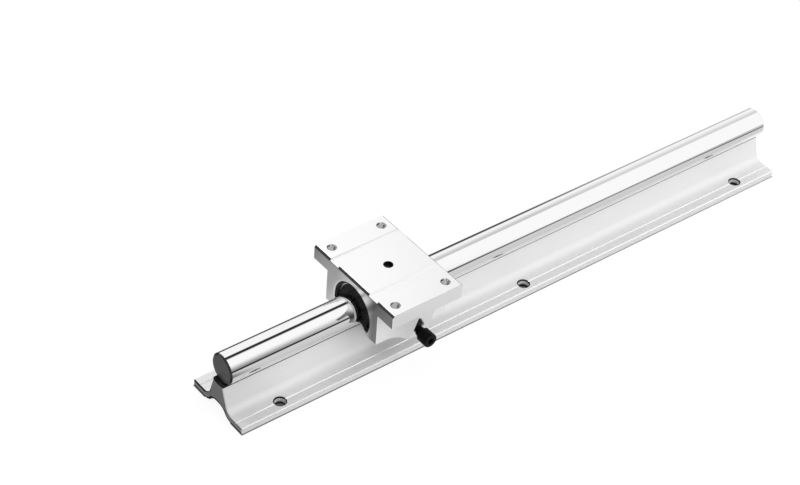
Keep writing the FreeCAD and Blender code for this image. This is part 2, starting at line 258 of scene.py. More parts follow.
rays = nodes.node("ShaderNodeLightPath")
camera_ray = nodes.number(rays, "Is Camera Ray")
glossy_ray = nodes.number(rays, "Is Glossy Ray")
shade = 0.92 * (1 - glossy_ray + pattern * glossy_ray) * (1 - under_rail * camera_ray * 0.9)
matte = nodes.node("ShaderNodeBsdfDiffuse", {}, {"Color": nodes.greys(shade)})
white = nodes.node("ShaderNodeEmission", {}, {
    "Color": nodes.greys(camera_ray + (1 - camera_ray) * pattern), "Strength": 1.04})
seen = nodes.node("ShaderNodeMixShader", {}, {
    0: camera_ray * (0.85 - under_rail * 0.8) + glossy_ray * 0.5,
    1: matte.outputs[0], 2: white.outputs[0]})
nodes.node("ShaderNodeOutputMaterial", {}, {"Surface": seen.outputs[0]})
paper.cycles.emission_sampling = "NONE"
floor.data.materials.append(paper)
print("the floor has", len(paper.node_tree.nodes), "nodes")


# %% [markdown]
# Two large square lamps stand outside the picture. The key light comes from above and behind,
# so the tops are the brightest faces and the shadow falls to the front. The fill light stands
# low in front and lifts the flank and the foot. It is hidden from reflections, because a
# second highlight along the shaft would be wrong.

# %% Lamps
def area_light(name, place, target, size, power):
    data = bpy.data.lights.new(name, "AREA")
    data.shape, data.size, data.energy = "SQUARE", size, power
    lamp = bpy.data.objects.new(name, data)
    bpy.context.collection.objects.link(lamp)
    lamp.location = place
    lamp.rotation_mode = "QUATERNION"
    lamp.rotation_quaternion = (Vector(target) - Vector(place)).to_track_quat("-Z", "Y")
    return lamp


area_light("key", (-0.25, 0.9, 1.1), (0, 0, 0), 0.7, 3.0)
fill = area_light("fill", (0.4, -0.8, 0.5), (0, 0, 0), 0.6, 3.0)
fill.visible_glossy = False
print("the lamps:", [light.name for light in bpy.data.lights])


# %% [markdown]
# Every operator acts on what is selected, and the frame comes in selected, so each piece starts
# with a clean selection. By hand one would click on a face or an edge. Here a test of its place
# or direction picks it, so the choice still holds when a size changes. The other helpers apply
# a modifier to a piece and smooth its shading.

# %% Selecting
def select_only(piece):
    bpy.ops.object.select_all(action="DESELECT")
    piece.select_set(True)
    bpy.context.view_layer.objects.active = piece


def select_parts(piece, kind, wanted):
    """In edit mode, selects the faces or edges that pass the test, and counts them."""
    bpy.ops.mesh.select_mode(type=kind)
    mesh = bmesh.from_edit_mesh(piece.data)
    parts = mesh.faces if kind == "FACE" else mesh.edges
    chosen = [part for part in parts if wanted(part)]
    for part in parts:
        part.select_set(False)
    for part in chosen:
        part.select_set(True)
    bmesh.update_edit_mesh(piece.data)
    return len(chosen)


def select_faces(piece, wanted):
    """The test gets a face's centre and normal."""
    return select_parts(piece, "FACE",
                        lambda face: wanted(face.calc_center_median(), face.normal))


def select_edges(piece, wanted):
    """The test gets an edge's two ends."""
    return select_parts(piece, "EDGE", lambda edge: wanted(*(end.co for end in edge.verts)))


def apply_modifier(piece, kind, **settings):
    select_only(piece)
    modifier = piece.modifiers.new(kind.lower(), kind)
    for name, value in settings.items():
        setattr(modifier, name, value)
    bpy.ops.object.modifier_apply(modifier=modifier.name)


def smooth(piece, degrees):
    """Smooth shading with sharp edges above that angle, and flat faces kept flat."""
    select_only(piece)
    bpy.ops.object.shade_smooth_by_angle(angle=math.radians(degrees))
    apply_modifier(piece, "WEIGHTED_NORMAL", keep_sharp=True, weight=80)


print("selected at the start:", len(bpy.context.selected_objects), "objects")


# %% [markdown]
# Metal has almost no colour of its own: what shows is the room, blurred by how rough the metal
# is. So each metal is a nearly white metallic shader whose roughness and small bumps follow the
# way that it was made. The exceptions are the dark greys for edges, holes, threads and chamfers,
# which are painted shade and a painted reflection, and the pale rim and edge finishes, which are
# painted highlights. Noise that is drawn out in one direction makes drawn or ground lines. A
# picture of brushed metal would do too, but on a long rail it would repeat. Scooped aluminium is
# rough on a fine scale and scatters light like paint, so it is only partly metallic.

# %% Metal finishes
def new_material(name):
    material = bpy.data.materials.new(name)
    material.use_nodes = True
    material.node_tree.nodes.clear()
    return material, Nodes(material.node_tree)


def lines(nodes, spacing):
    """Noise drawn out into lines: spacing is the size of its grains along X, Y and Z."""
    place = nodes.node("ShaderNodeMapping", {}, {
        "Vector": nodes.node("ShaderNodeTexCoord").outputs["Object"],
        "Scale": [1 / size for size in spacing]})
    return nodes.number(nodes.node("ShaderNodeTexNoise", {}, {
        "Vector": place.outputs[0], "Scale": 1.0, "Detail": 3, "Roughness": 0.6}))


def surface(nodes, colour, roughness, metallic=1.0, height=None, depth=0.0, **constants):
    """The main shader, with a bump of that height and depth."""
    shader = nodes.node("ShaderNodeBsdfPrincipled", {}, {
        "Base Color": colour, "Roughness": roughness, "Metallic": metallic, **constants})
    if height is not None:
        bump = nodes.node("ShaderNodeBump", {}, {"Strength": 1.0, "Distance": depth,
                                                "Height": height})
        nodes.tree.links.new(bump.outputs[0], shader.inputs["Normal"])
    nodes.node("ShaderNodeOutputMaterial", {}, {"Surface": shader.outputs[0]})


def metal(name, spacing, light, roughness, depth, streak=0.04, swing=0.1, metallic=1.0):
    """A metal with lines or grains of that spacing.

    Its lightness changes by streak to either side, and its roughness by swing in all.
    """
    material, nodes = new_material(name)
    grain = lines(nodes, spacing)
    surface(nodes, nodes.colour(grain, grey(light - streak), grey(light + streak)),
            grain * swing + (roughness - swing / 2), metallic, grain, depth)
    return material


# Painted shade: a near-black for edges and chamfers that lie in shade.
edge_shade = metal("painted_edge_shade", (1 * MM, 0.5 * MM, 0.5 * MM), 0.012, 0.4, 0.003 * MM, 0.004)
# Painted shade: a dark grey for the grease hole's wall.
drilled = metal("drilled_aluminium", (5 * MM, 5 * MM, 0.2 * MM), 0.14, 0.35, 0.02 * MM, 0.06)
# Painted shade: a darker grey for threads inside their holes.
threaded = metal("threaded_aluminium", (5 * MM, 5 * MM, 0.2 * MM), 0.42, 0.12, 0.004 * MM)
milled = metal("milled_aluminium", (30 * MM, 0.2 * MM, 0.2 * MM), 0.94, 0.17, 0.003 * MM, 0.02)
scooped = metal("scooped_aluminium", (0.4 * MM, 0.4 * MM, 20 * MM), 0.86, 0.5, 0.006 * MM, 0.03,
                metallic=0.3)
# Painted highlight: a pale, half-matte finish that shows white on rims and corners.
highlight_rim = metal("highlight_rim", (1 * MM, 0.5 * MM, 0.5 * MM), 0.95, 0.3, 0.002 * MM, 0.02,
                   metallic=0.3)
# Painted highlight: a pale, half-matte finish that shows white along the foot's lines.
edge_highlight = metal("painted_edge_highlight", (20 * MM, 0.5 * MM, 0.5 * MM), 0.97, 0.2, 0.001 * MM, 0.02,
                  0.04, metallic=0.5)
polished = metal("polished_steel", (0.15 * MM, 4 * MM, 4 * MM), 0.85, 0.04, 0.0004 * MM, 0.02,
                 0.03)
shaft_face = metal("turned_steel", (1 * MM, 0.3 * MM, 0.3 * MM), 0.5, 0.3, 0.004 * MM)
ground_steel = metal("ground_steel", (0.2 * MM, 3 * MM, 3 * MM), 0.45, 0.27, 0.002 * MM, 0.05)
# Painted reflection: chamfers painted dark, as the dim side of the room they would mirror.
chamfer_reflection = metal("painted_reflection_chamfer", (1 * MM, 0.5 * MM, 0.5 * MM), 0.07, 0.35, 0.003 * MM, 0.03)
print("the even metals:", [one.name for one in (
    edge_shade, drilled, threaded, milled, scooped, highlight_rim, edge_highlight, polished, shaft_face,
    ground_steel, chamfer_reflection)])


# %% [markdown]
# The extruded, sawn and drilled surfaces of the rail are not even, and much of that is painted
# shade: the front of the skin is darker towards the near end, and the bottom of a hole, the
# joint under the shaft and a band along a sawn edge are painted dark. The block's faced ends get
# painted light and shade. All of it could be painted by hand on an unwrapped mesh. A formula in
# the object's own coordinates needs no unwrapping, and it can follow the arched outline of the
# underside.

# %% Finishes that change with the place
FOOT_TOP = 4 * MM
ARCH_EDGE, ARCH_MIDDLE, ARCH_CROWN = 10.5 * MM, 5.75 * MM, 1 * MM
ARCH_HEIGHT, ARCH_BEND = 4.8 * MM, 5.9 * MM


def extruded_finish(name, level):
    """The die's fine lines along the rail, and painted shade on the front towards the near end.
    """
    material, nodes = new_material(name)
    grain = lines(nodes, (90 * MM, 0.25 * MM, 0.25 * MM))
    # Painted shade: the front of the skin darkens towards the near end.
    near_end_shade = (1 - nodes.step(nodes.place(0), -0.18, -0.13)) * (
        1 - nodes.step(nodes.place(1), 0, 0.004))
    surface(nodes, nodes.greys((grain * 0.08 + level) * (1 - near_end_shade * 0.14)),
            grain * 0.1 + 0.37, 0.2, grain, 0.012 * MM)
    return material


def sawn_finish():
    """The saw's lines, and a painted shade band along the arched underside and the foot's top."""
    material, nodes = new_material("sawn_aluminium")
    grain = lines(nodes, (0.5 * MM, 0.35 * MM, 6 * MM))
    side, height = nodes.maths("ABSOLUTE", nodes.place(1)), nodes.place(2)

    def distance(across, up):
        return nodes.maths("SQRT", across * across + up * up)

    on_foot = nodes.maths("GREATER_THAN", side, ARCH_EDGE)
    in_arch = nodes.maths("LESS_THAN", side, ARCH_MIDDLE)
    foot_depth = nodes.maths("MINIMUM", height, FOOT_TOP + 0.4 * MM - height)
    arch_depth = distance(nodes.maths("MAXIMUM", side - ARCH_CROWN, 0),
                          height - (ARCH_HEIGHT - ARCH_BEND)) - ARCH_BEND
    bend_depth = ARCH_BEND - distance(side - ARCH_EDGE, height - ARCH_BEND)
    depth = on_foot * foot_depth + in_arch * arch_depth + (1 - on_foot - in_arch) * bend_depth
    # Painted shade: black in a band along the underside and the foot's top.
    unshaded = nodes.step(depth, 1.1 * MM, 1.4 * MM)
    surface(nodes, nodes.colour(unshaded, grey(0.012), nodes.greys(grain * 0.12 + 0.72)),
            grain * 0.1 + 0.35, 1.0, grain, 0.02 * MM)
    return material


def bored_finish():
    """A drilled wall that is pale at its top and painted black as shade at its bottom."""
    material, nodes = new_material("bored_aluminium")
    # Painted shade: the wall turns black towards the bottom of the hole.
    unshaded = nodes.step(nodes.place(2), 0.8 * MM, 2.2 * MM)
    surface(nodes, nodes.colour(unshaded, grey(0.01), grey(0.95)), 0.4, 0.3)
    return material


def seam_finish():
    """Painted shade in the joint under the shaft: black at the near end, fading to grey along the
    rail.
    """
    material, nodes = new_material("painted_seam_shade")
    # Painted shade: black at the near end, grey further along the rail.
    unshaded = nodes.step(nodes.place(0), -0.09, -0.05)
    surface(nodes, nodes.colour(unshaded, grey(0.03), grey(0.35)), 0.45)
    return material


def faced_finish():
    """The block's faced ends: painted light over the bore, painted shade on the lock screw's
    side.
    """
    material, nodes = new_material("faced_aluminium")
    side = nodes.place(1)
    grain = lines(nodes, (0.3 * MM, 30 * MM, 0.3 * MM))
    # Painted light over the bore, and painted shade on the lock screw's side and a little on the
    # other.
    lit_over_bore = nodes.step(side, -0.017, -0.011) * 0.44 + nodes.step(side, -0.013, -0.007) * 0.17
    shaded_rear_side = nodes.step(side, 0.004, 0.014) * 0.17
    surface(nodes, nodes.greys(grain * 0.06 + 0.22 + lit_over_bore - shaded_rear_side), 0.28, 1.0, grain,
            0.006 * MM)
    return material


extruded = extruded_finish("extruded_aluminium", 0.80)
sawn = sawn_finish()
# Painted shade: the foot's sides are a darker copy of the extruded skin.
foot_side = extruded_finish("shaded_extruded_side", 0.7)
bored = bored_finish()
seam = seam_finish()
faced = faced_finish()
print("the uneven metals:", [one.name for one in (extruded, sawn, foot_side, bored, seam, faced)])


# %% [markdown]
# The black pieces are black oxide on steel, moulded plastic, rubber and phosphate. Their colours
# are nearly the same, and what tells them apart is how sharp their highlights are. So one
# function makes all four, with other numbers for the roughness and the grain.

# %% Black finishes
def black(name, level, roughness, grain, depth, shine=0.2):
    """A near-black finish with a fine grain."""
    material, nodes = new_material(name)
    spots = lines(nodes, (grain, grain, grain))
    surface(nodes, nodes.colour(spots, grey(level * 0.6), grey(level * 1.4)),
            spots * 0.15 + roughness, 0.0, spots, depth, **{"Specular IOR Level": shine})
    return material


black_oxide = black("black_oxide", 0.003, 0.25, 0.25 * MM, 0.006 * MM, 0.08)
rubber = black("black_rubber", 0.006, 0.5, 0.2 * MM, 0.01 * MM)
moulded = black("moulded_black", 0.006, 0.35, 0.4 * MM, 0.01 * MM)
phosphate = black("phosphate_black", 0.008, 0.4, 0.15 * MM, 0.008 * MM)
print("the blacks:", [one.name for one in (black_oxide, rubber, moulded, phosphate)])


# %% [markdown]
# One piece often shows several finishes, because a milled face, a drilled hole and a chamfer
# look different, and because some slots hold painted shade, painted reflections and painted
# highlights. Cutting the piece up would leave gaps, so each finish gets a material slot and the
# faces that wear it are picked by where their centre is and which way they look. The part of a
# face's normal on an axis tells whether it faces along that axis, stands beside it or is
# slanted, as a chamfer is.

# %% Painting
def facing(part):
    return abs(part) > 0.95


def beside(part):
    return abs(part) < 0.3


def slanted(part):
    return not facing(part) and not beside(part)


def paint(piece, material, wanted=None):
    """Gives the piece a finish, or only the faces whose centre and normal pass the test."""
    piece.data.materials.append(material)
    index = len(piece.data.materials) - 1
    faces = [face for face in piece.data.polygons
             if wanted is None or wanted(face.center, face.normal)]
    for face in faces:
        face.material_index = index
    return len(faces)


def paint_faces(piece, finishes):
    for name, material, wanted in finishes:
        print(f"{name}: {paint(piece, material, wanted)} faces")


print("a chamfer's normal is slanted:", slanted(math.sin(math.radians(45))))


# %% [markdown]
# Real edges are never knife-sharp. A tumbled or deburred edge is a narrow round that catches a
# line of light, and on metal those lines draw the shape. The two large aluminium pieces are
# copies of the solids with such rounds: the copy's loose triangles are merged first, the flat
# ones are joined, and then the sharp edges are bevelled. Bevelling holds every edge back to
# the width that fits the most crowded corner, so edges in crowded places, such as the rims of
# small holes, are left out and the others get their full width.

# %% Softened copies
SHARP = math.radians(25)
ROOM = 2.2


def merged_copy(node, name, body):
    piece = bpy.data.objects.new(name, frame["nodes"][node].data.copy())
    bpy.context.collection.objects.link(piece)
    select_only(piece)
    bpy.ops.object.mode_set(mode="EDIT")
    bpy.ops.mesh.customdata_custom_splitnormals_clear()
    bpy.ops.mesh.select_all(action="SELECT")
    bpy.ops.mesh.remove_doubles(threshold=0.001 * MM)
    bpy.ops.mesh.dissolve_limited(angle_limit=math.radians(0.6))
    bpy.ops.mesh.normals_make_consistent(inside=False)
    bpy.ops.object.mode_set(mode="OBJECT")
    piece.data.materials.clear()
    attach(piece, body)
    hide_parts(node)
    return piece


def round_edges(piece, width):
    """Rounds the sharp edges whose two ends have room for it."""
    def has_room(end):
        return min(edge.calc_length() for edge in end.link_edges) > width * ROOM

    select_only(piece)
    bpy.ops.object.mode_set(mode="EDIT")
    count = select_parts(piece, "EDGE", lambda edge: (
        edge.calc_face_angle(0) > SHARP and all(has_room(end) for end in edge.verts)))
    bpy.ops.mesh.bevel(offset=width, segments=2, clamp_overlap=True)
    bpy.ops.object.mode_set(mode="OBJECT")
    smooth(piece, 38)
    print(piece.name, "has", count, "rounded edges and", len(piece.data.polygons), "faces")


# %% [markdown]
# The rail's support is one long extrusion with a saddle for the shaft, and its foot is drilled
# for six bolts. Here it gets what the solid leaves out: chamfers along the saddle's lips and the
# foot, broken edges at the sawn ends, and chamfered holes. The holes get theirs from cones that
# are cut away, because a bevel would pull the scribed lines apart where they run into them.
# The sizes come from the solids' boxes and from the bolt patterns in the record.

# %% Rail support
RAIL_END, FOOT_EDGE, LIP_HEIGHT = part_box("rail_support")[1]
LIP_HALF_WIDTH = 4 * MM
LIP_CHAMFER = 0.5 * MM
FOOT_CHAMFER = 0.6 * MM
FOOT_ROUND = 0.5 * MM
END_CHAMFER = 0.4 * MM
EDGE_ROUND = 0.12 * MM
NEAR = 0.1 * MM

bolt_patterns = {mount["name"]: mount["dims"] for mount in frame["record"]["mounts"]}
HOLE_PITCH = bolt_patterns["rail_end_bolts"]["spacing_x_mm"] * MM / 2
SCRIBED_LINE = bolt_patterns["rail_end_bolts"]["spacing_y_mm"] * MM / 2
HOLE_RADIUS = bolt_patterns["rail_end_bolts"]["hole_r_mm"] * MM
HOLE_CHAMFER = 0.6 * MM
CONE_MARGIN = 0.5 * MM
CONE_SIDES = 64
HOLE_ROWS = (-HOLE_PITCH, 0, HOLE_PITCH)
FOOT_HOLES = [(x, y) for x in HOLE_ROWS for y in (-SCRIBED_LINE, SCRIBED_LINE)]


def chamfer_hole(piece, x, y):
    """Cuts the edge of a hole in the foot with a cone that is a little longer at both ends."""
    bpy.ops.object.select_all(action="DESELECT")
    bpy.ops.mesh.primitive_cone_add(
        vertices=CONE_SIDES, radius1=HOLE_RADIUS - CONE_MARGIN,
        radius2=HOLE_RADIUS + HOLE_CHAMFER + CONE_MARGIN,
        depth=HOLE_CHAMFER + 2 * CONE_MARGIN, location=(x, y, FOOT_TOP - HOLE_CHAMFER / 2))
    cone = bpy.context.object
    apply_modifier(piece, "BOOLEAN", object=cone, operation="DIFFERENCE", solver="EXACT")
    bpy.data.objects.remove(cone)


def is_along(first, second, side, height):
    """Whether an edge runs along the rail, that far from its middle and that high."""
    return abs(first.x - second.x) > 1 * MM and all(
        abs(abs(end.y) - side) < NEAR and abs(end.z - height) < NEAR for end in (first, second))


def is_end_edge(first, second):
    return abs(first.x - second.x) < NEAR and all(
        abs(abs(end.x) - RAIL_END) < NEAR for end in (first, second))


support = merged_copy("rail_support", "support_extrusion", "rail")
bpy.ops.object.mode_set(mode="EDIT")
for name, side, height, width, segments in (
        ("lip", LIP_HALF_WIDTH, LIP_HEIGHT, LIP_CHAMFER, 1),
        ("foot", FOOT_EDGE, 0, FOOT_CHAMFER, 1),
        ("top", FOOT_EDGE, FOOT_TOP, FOOT_ROUND, 3)):
    print(name, "edges:", select_edges(support, lambda *ends: is_along(*ends, side, height)))
    bpy.ops.mesh.bevel(offset=width, segments=segments)
print("end edges:", select_edges(support, is_end_edge))
bpy.ops.mesh.bevel(offset=END_CHAMFER, segments=1)
bpy.ops.object.mode_set(mode="OBJECT")
for x, y in FOOT_HOLES:
    chamfer_hole(support, x, y)
round_edges(support, EDGE_ROUND)


# %% [markdown]
# The support's flanks and foot have the die's fine lines along them, its ends are sawn and its
# holes drilled. Where the saddle's lips meet the shaft, the chamfer and the saddle are painted
# dark as the shade under the shaft and show as a dark seam. The foot's scribed lines and its
# rounded outer edges get painted highlights, its sides get painted shade, and the chamfers at
# the ends and the holes that lie in shade are painted black. The whole piece is painted first
# and the special faces after it, so that nothing stays bare.

# %% Finishes of the rail support
shaft_low, shaft_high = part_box("shaft")
SHAFT_RADIUS = shaft_high.y
SHAFT_HEIGHT = shaft_low.z + SHAFT_RADIUS
NECK_HEIGHT = 16.85 * MM
SEAM_HALF_WIDTH = 0.35 * MM
SCRIBED_HALF_WIDTH = 0.6 * MM
BRIGHT_DEPTH = 0.6 * MM
SADDLE_LOW = 14 * MM
FRONT_LIP = -3.7 * MM


def from_shaft(point):
    """How far a point is from the shaft's axis."""
    return math.hypot(point.y, point.z - SHAFT_HEIGHT)


def from_hole(point):
    return min(math.hypot(point.x - x, point.y - y) for x, y in FOOT_HOLES)


def is_end_face(centre, normal):
    return facing(normal.x) and abs(abs(centre.x) - RAIL_END) < NEAR


def is_shaded_chamfer(centre, normal):
    """The ends' chamfers below, behind and just under the shaft, for painted shade. Those in
    front are left out.
    """
    below, behind = normal.z < -0.3, centre.y > 0
    under_shaft = centre.z > SADDLE_LOW and centre.y > FRONT_LIP
    return slanted(normal.x) and abs(centre.x) > RAIL_END - END_CHAMFER - 0.05 * MM and (
        below or behind or under_shaft)


def is_foot_side(centre, normal):
    return facing(normal.y) and abs(abs(centre.y) - FOOT_EDGE) < NEAR


def is_bright_line(centre, normal):
    """The sides of the scribed lines, and the rounded edges of the foot."""
    scribed = abs(abs(centre.y) - SCRIBED_LINE) < SCRIBED_HALF_WIDTH
    rounded = abs(centre.y) > FOOT_EDGE - FOOT_ROUND
    near_top = FOOT_TOP - BRIGHT_DEPTH < centre.z < FOOT_TOP + 0.02 * MM
    return (scribed or rounded) and near_top and abs(normal.y) > 0.03 and (
        abs(centre.x) < RAIL_END - 0.5 * MM and from_hole(centre) > HOLE_RADIUS + HOLE_CHAMFER)


def is_hole_wall(centre, normal):
    return beside(normal.z) and centre.z < FOOT_TOP and from_hole(centre) < HOLE_RADIUS + NEAR


def is_hole_chamfer(centre, normal):
    return slanted(normal.z) and centre.z > FOOT_TOP / 2 and (
        from_hole(centre) < HOLE_RADIUS + HOLE_CHAMFER + 0.15 * MM)


def is_seam(centre, normal):
    return centre.z > NECK_HEIGHT and abs(abs(centre.y) - LIP_HALF_WIDTH) < SEAM_HALF_WIDTH


def is_saddle(centre, normal):
    return beside(normal.x) and abs(from_shaft(centre) - SHAFT_RADIUS) < NEAR


paint(support, extruded)
# Most slots below hold painted shade, and the bright lines hold painted highlights.
paint_faces(support, (
    ("sawn ends", sawn, is_end_face), ("end chamfers", edge_shade, is_shaded_chamfer),
    ("foot sides", foot_side, is_foot_side), ("bright lines", edge_highlight, is_bright_line),
    ("hole walls", bored, is_hole_wall), ("hole chamfers", edge_shade, is_hole_chamfer),
    ("seams", seam, is_seam), ("saddle", seam, is_saddle)))


# %% [markdown]
# The carriage block is milled from a bar, with a wide plate on top, scoops under the plate and a
# bore for the bearing. The solid has every cut, so modelling it anew would only add mistakes.
# A copy with narrow rounds on its edges is enough.

# %% Carriage block
BLOCK_ROUND = 0.2 * MM

block = merged_copy("carriage_block", "milled_block", "carriage")
round_edges(block, BLOCK_ROUND)


# %% [markdown]
# The block is milled bright all over. The scoops and the walls between them come from a coarser
# cutter and are dull, and the burrs along its top ends were taken off by hand, which leaves
# chamfers that are painted dark as a painted reflection. The rims over the bore and the rounded
# upright corners get painted highlights, the grease hole, a plain drilled one, is painted dark as
# shade, and the ends get painted light and shade. These finishes could each be an object of
# their own, but then their edges would have to meet, so they are slots of one mesh here too.

# %% Finishes of the carriage block
block_low, block_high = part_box("carriage_block")
BLOCK_MIDDLE = (block_low.x + block_high.x) / 2
BLOCK_HALF_LENGTH = (block_high.x - block_low.x) / 2
PLATE_TOP = block_high.z
PLATE_BOTTOM = PLATE_TOP - 8 * MM
BORE_RADIUS = 14 * MM
SCOOP_X, SCOOP_Y, SCOOP_RADIUS = 15 * MM, 30 * MM, 10 * MM
WALL_INNER, WALL_OUTER = 19 * MM, 22 * MM
TAPPED_RADIUS = bolt_patterns["carriage_bolts"]["hole_r_mm"] * MM


def from_middle(point):
    """How far along the rail a point is from the block's middle."""
    return abs(point.x - BLOCK_MIDDLE)


def is_block_end(centre, normal):
    return facing(normal.x) and abs(from_middle(centre) - BLOCK_HALF_LENGTH) < 0.05 * MM


def is_scoop(centre, normal):
    reach = math.hypot(from_middle(centre) - SCOOP_X, abs(centre.y) - SCOOP_Y)
    return beside(normal.z) and abs(normal.x) > 0.05 and abs(reach - SCOOP_RADIUS) < 0.15 * MM


def is_wall(centre, normal):
    return facing(normal.y) and WALL_INNER < abs(centre.y) < WALL_OUTER and (
        block_low.z < centre.z < PLATE_BOTTOM)


def is_bore_rim(centre, normal):
    return slanted(normal.x) and from_middle(centre) > BLOCK_HALF_LENGTH - 1 * MM and (
        BORE_RADIUS - 0.2 * MM < from_shaft(centre) < BORE_RADIUS + 1 * MM)


def is_top_chamfer(centre, normal):
    return abs(normal.x) > 0.3 and normal.z > 0.3 and centre.z > PLATE_BOTTOM and (
        from_middle(centre) > BLOCK_HALF_LENGTH - 1 * MM)


def is_corner(centre, normal):
    """The rounds of the upright edges at the block's ends."""
    return beside(normal.z) and slanted(normal.x) and abs(normal.y) > 0.3 and (
        from_middle(centre) > BLOCK_HALF_LENGTH - 0.4 * MM)


def is_grease_hole(centre, normal):
    return beside(normal.z) and centre.z > PLATE_BOTTOM and (
        math.hypot(from_middle(centre), centre.y) < TAPPED_RADIUS + 0.1 * MM)


paint(block, milled)
# The ends, bore rims, corners, top chamfers and grease hole below hold painted light and shade.
paint_faces(block, (
    ("end faces", faced, is_block_end), ("scoops", scooped, is_scoop),
    ("walls", scooped, is_wall), ("bore rims", highlight_rim, is_bore_rim),
    ("top chamfers", chamfer_reflection, is_top_chamfer), ("corners", highlight_rim, is_corner),
    ("grease hole", drilled, is_grease_hole)))


# %% [markdown]
# The shaft is ground round and polished, and a mirror shows every facet. A copy of the solid
# with smooth shading would still bend the dark lines in it, so a new cylinder with many sides
# takes its place and gets the turned chamfers at its two ends.

# %% Shaft
SHAFT_SIDES = 192
SHAFT_CHAMFER = 0.8 * MM

bpy.ops.object.select_all(action="DESELECT")
bpy.ops.mesh.primitive_cylinder_add(
    vertices=SHAFT_SIDES, radius=SHAFT_RADIUS, depth=shaft_high.x - shaft_low.x,
    end_fill_type="NGON", location=((shaft_low.x + shaft_high.x) / 2, 0, SHAFT_HEIGHT),
    rotation=(0, math.pi / 2, 0))
shaft = bpy.context.object
shaft.name = "polished_shaft"
bpy.ops.object.transform_apply()
bpy.ops.object.mode_set(mode="EDIT")
select_faces(shaft, lambda centre, normal: facing(normal.x))
bpy.ops.mesh.bevel(offset=SHAFT_CHAMFER, segments=1, affect="EDGES")
bpy.ops.object.mode_set(mode="OBJECT")
smooth(shaft, 30)
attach(shaft, "rail")
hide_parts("shaft")
paint(shaft, polished)
paint(shaft, shaft_face, lambda centre, normal: facing(normal.x))
# Painted reflection: the end chamfers are painted dark.
paint(shaft, chamfer_reflection, lambda centre, normal: slanted(normal.x))
print("the shaft has", len(shaft.data.polygons), "faces")


# %% [markdown]
# A thread is one triangle swept along a helix. The triangle is a three-sided circle, set at the
# thread's radius, and the Screw modifier turns it round the object's own Z axis while it climbs
# one pitch a turn. Inside a hole the triangle points to the axis, and on a screw it points out.
# Its flat side sinks a little into the metal that carries it. A bump pattern would be quicker,
# but the edge of the hole would stay smooth and the mesh would have no thread.
# The block's four corner holes are tapped, so the first threads made here are theirs.

# %% Threads
THREAD_PITCH = 0.8 * MM
THREAD_DEPTH = 0.42 * MM
THREAD_SINK = 0.02 * MM
THREAD_STEPS = 40
THREAD_START = PLATE_BOTTOM + 0.1 * MM
THREAD_MARGIN = 0.15 * MM


def thread(name, radius, length, inside):
    """A thread along the object's Z axis from z = 0, closed at both ends."""
    corner = THREAD_DEPTH / 1.5
    bpy.ops.object.select_all(action="DESELECT")
    bpy.ops.mesh.primitive_circle_add(vertices=3, radius=corner, rotation=(math.pi / 2, 0, 0))
    piece = bpy.context.object
    piece.name = name
    bpy.ops.object.transform_apply()
    bpy.ops.object.mode_set(mode="EDIT")
    bpy.ops.mesh.select_all(action="SELECT")
    bpy.ops.transform.rotate(value=math.pi / 2 if inside else -math.pi / 2, orient_axis="Y",
                             center_override=(0, 0, 0))
    bpy.ops.transform.resize(value=(1, 1, THREAD_PITCH / (corner * 3 ** 0.5)),
                             center_override=(0, 0, 0))
    bpy.ops.object.mode_set(mode="OBJECT")
    flat = (max if inside else min)(vertex.co.x for vertex in piece.data.vertices)
    low = min(vertex.co.z for vertex in piece.data.vertices)
    bpy.ops.object.mode_set(mode="EDIT")
    bpy.ops.mesh.select_all(action="SELECT")
    bpy.ops.transform.translate(value=(radius - flat, 0, -low))
    bpy.ops.object.mode_set(mode="OBJECT")
    turns = int((length - THREAD_PITCH) / THREAD_PITCH)
    apply_modifier(piece, "SCREW", angle=2 * math.pi, screw_offset=THREAD_PITCH,
                   iterations=turns, steps=THREAD_STEPS, render_steps=THREAD_STEPS,
                   use_merge_vertices=False)
    bpy.ops.object.mode_set(mode="EDIT")
    bpy.ops.mesh.select_mode(type="EDGE")
    bpy.ops.mesh.select_all(action="DESELECT")
    bpy.ops.mesh.select_non_manifold()
    bpy.ops.mesh.fill()
    bpy.ops.mesh.select_all(action="SELECT")
    bpy.ops.mesh.normals_make_consistent(inside=False)
    bpy.ops.object.mode_set(mode="OBJECT")
    smooth(piece, 30)
    print(name, "has", turns, "turns and", len(piece.data.polygons), "faces")
    return piece


def put(piece, place, turn=(0, 0, 0)):
    """Turns and moves a piece, and leaves that in its mesh."""
    select_only(piece)
    piece.rotation_euler = turn
    piece.location = place
    bpy.ops.object.transform_apply()
    return piece


def twin(piece, name):
    copy = bpy.data.objects.new(name, piece.data.copy())
    bpy.context.collection.objects.link(copy)
    return copy


half_pitch = bolt_patterns["carriage_bolts"]["spacing_x_mm"] * MM / 2
half_span = bolt_patterns["carriage_bolts"]["spacing_y_mm"] * MM / 2
tapped_places = [(BLOCK_MIDDLE + i * half_pitch, j * half_span)
                 for i in (-1, 1) for j in (-1, 1)]
tapped = thread("plate_thread", TAPPED_RADIUS + THREAD_SINK,
                PLATE_TOP - THREAD_START - THREAD_MARGIN, inside=True)
# Painted shade: the threads are darker than the plate.
paint(tapped, threaded)
for number, (x, y) in enumerate(tapped_places, 1):
    copy = put(twin(tapped, f"plate_thread_{number}"), (x, y, THREAD_START))
    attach(copy, "carriage")
bpy.data.objects.remove(tapped)


# %% [markdown]
# Socket head screws are turned, knurled, pressed with a hexagonal socket and rolled with their
# thread. The head is a cylinder whose every second side is sunk, the socket is cut out with a
# boolean, and the shank carries the helix from the cell above. Pushing the socket's faces in
# would leave slivers between the two outlines. The knurl's gap and the head's round are given
# as shares of the head's radius, so that one set of functions serves both sizes of screw.

